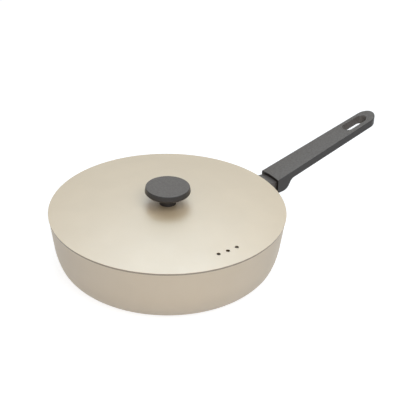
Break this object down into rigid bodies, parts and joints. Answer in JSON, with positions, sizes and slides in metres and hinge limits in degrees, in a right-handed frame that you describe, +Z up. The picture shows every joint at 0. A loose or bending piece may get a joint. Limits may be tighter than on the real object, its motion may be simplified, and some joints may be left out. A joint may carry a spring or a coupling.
{
  "type": "saute pan with lid",
  "caption": "Round saute pan with a curved wall, a slim rising handle with a hanging slot, and a shallow domed lid with steam vents and a disc knob; the lid lifts off and turns on the rim.",
  "frame": {"origin": "middle of the base, on the surface that the pan stands on", "axes": "+X along the handle away from the pan, +Z up, vents of the lid towards -Y"},
  "size_m": [0.4744, 0.286, 0.1141],
  "materials": {
    "beige_coat": "satin",
    "plate_steel": "satin",
    "bare_aluminium": "satin",
    "dark_paint": "satin",
    "dark_phenolic": "matte",
    "screw_steel": "satin",
    "insert_brass": "satin"
  },
  "bodies": {
    "pan": {"pan_body": "beige_coat", "induction_plate": "plate_steel", "handle_stud": "bare_aluminium", "flame_guard": "dark_paint", "handle": "dark_phenolic", "handle_spring_washer": "screw_steel", "handle_screw": "screw_steel"},
    "lid_washer": {"knob_washer": "screw_steel"},
    "lid": {"lid_shell": "beige_coat", "knob": "dark_phenolic", "knob_insert": "insert_brass", "knob_screw": "screw_steel"}
  },
  "joints": [
    {"name": "lid_lift", "type": "slide", "parent": "pan", "child": "lid_washer", "axis": [0, 0, 1], "range_m": [0, 0.15]},
    {"name": "lid_turn", "type": "hinge", "parent": "lid_washer", "child": "lid", "pos_m": [0, 0, 0.0795], "axis": [0, 0, 1], "continuous": true}
  ]
}
